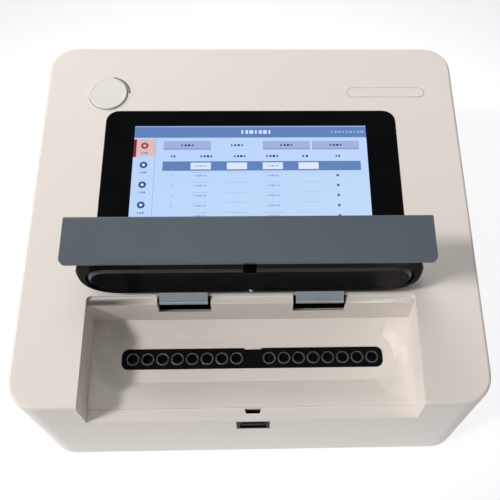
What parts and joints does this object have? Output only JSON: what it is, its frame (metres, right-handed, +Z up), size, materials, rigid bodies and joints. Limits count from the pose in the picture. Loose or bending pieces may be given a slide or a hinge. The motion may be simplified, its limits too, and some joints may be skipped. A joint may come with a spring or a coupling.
{
  "type": "thermal cycler",
  "caption": "Bench-top thermal cycler with a hinged heated lid over a row of tube wells, a touch display, a power button and a front lid latch.",
  "frame": {"origin": "middle of the footprint at the height of the surface that the feet stand on", "axes": "+X to the right of someone facing the machine, +Y towards its rear, +Z up; the lid stands open"},
  "size_m": [0.271, 0.252, 0.1772],
  "materials": {
    "housing_plastic": "moulded ivory plastic with a fine spark texture",
    "base_metal": "grey powder coat",
    "black_plastic": "moulded black plastic",
    "socket_metal": "nickel plated shell",
    "well_strip": "black insulating strip",
    "well_block": "bead blasted and anodised",
    "ceramic": "white alumina face",
    "heat_sink": "extruded aluminium",
    "fan_plastic": "black plastic",
    "display_glass": "black bordered touch glass, lit page behind it",
    "panel_metal": "zinc plated sheet",
    "board": "solder mask",
    "supply_case": "folded sheet",
    "spring_wire": "spring steel",
    "status_light": "smoked light guide",
    "nameplate": "plain cream label plate",
    "hinge_metal": "bright nickel plate",
    "pin_steel": "turned steel",
    "foot_rubber": "moulded rubber",
    "screw_steel": "zinc plated",
    "button_plastic": "satin off-white plastic",
    "latch_plastic": "black plastic with a raised ridge",
    "lid_plastic": "slate grey satin",
    "tray_plastic": "glossy black plastic",
    "insulation": "heat resistant foam",
    "heater_face": "black coated heater plate"
  },
  "bodies": {
    "housing": {"upper_housing": "housing_plastic", "base_pan": "base_metal", "power_socket": "black_plastic", "data_socket": "socket_metal", "well_strip": "well_strip", "well_block": "well_block", "heat_pump_left": "ceramic", "heat_pump_right": "ceramic", "heat_sink": "heat_sink", "fan_frame": "fan_plastic", "display_glass": "display_glass", "display_panel": "panel_metal", "main_board": "board", "display_board": "board", "power_supply": "supply_case", "button_switch": "black_plastic", "button_spring": "spring_wire", "status_light": "status_light", "nameplate": "nameplate", "latch_bezel": "black_plastic", "hinge_bracket_left": "hinge_metal", "hinge_bracket_right": "hinge_metal", "hinge_pin_left": "pin_steel", "hinge_pin_right": "pin_steel", "foot_1": "foot_rubber", "foot_2": "foot_rubber", "foot_3": "foot_rubber", "foot_4": "foot_rubber", "base_screw_1": "screw_steel", "base_screw_2": "screw_steel", "base_screw_3": "screw_steel", "base_screw_4": "screw_steel"},
    "power_button": {"power_button": "button_plastic"},
    "latch": {"latch_button": "latch_plastic", "latch_catch": "pin_steel"},
    "lid": {"lid_shell": "lid_plastic", "lid_tray": "tray_plastic", "heater_backing": "panel_metal", "heater_insulation": "insulation", "latch_hook": "tray_plastic", "hinge_arm_left": "hinge_metal", "hinge_arm_right": "hinge_metal", "arm_screw_1": "screw_steel", "arm_screw_2": "screw_steel", "arm_screw_3": "screw_steel", "arm_screw_4": "screw_steel"},
    "heater": {"heater_plate": "heater_face"},
    "fan": {"fan_rotor": "fan_plastic"}
  },
  "joints": [
    {"name": "lid_hinge", "type": "hinge", "parent": "housing", "child": "lid", "pos_m": [0, -0.0505, 0.1017], "axis": [1, 0, 0], "range_deg": [0, 90]},
    {"name": "heater_float", "type": "slide", "parent": "lid", "child": "heater", "axis": [0, 1, 0], "range_m": [0, 0.0015], "stiffness_N_per_m": 2000},
    {"name": "power_button_press", "type": "slide", "parent": "housing", "child": "power_button", "axis": [0, 0, -1], "range_m": [0, 0.0015], "stiffness_N_per_m": 600, "deforming": ["button_spring"]},
    {"name": "latch_press", "type": "slide", "parent": "housing", "child": "latch", "axis": [0, 1, 0], "range_m": [0, 0.0025], "stiffness_N_per_m": 400},
    {"name": "fan_spin", "type": "hinge", "parent": "housing", "child": "fan", "pos_m": [0, -0.0465, 0.039], "axis": [0, 1, 0], "continuous": true}
  ]
}
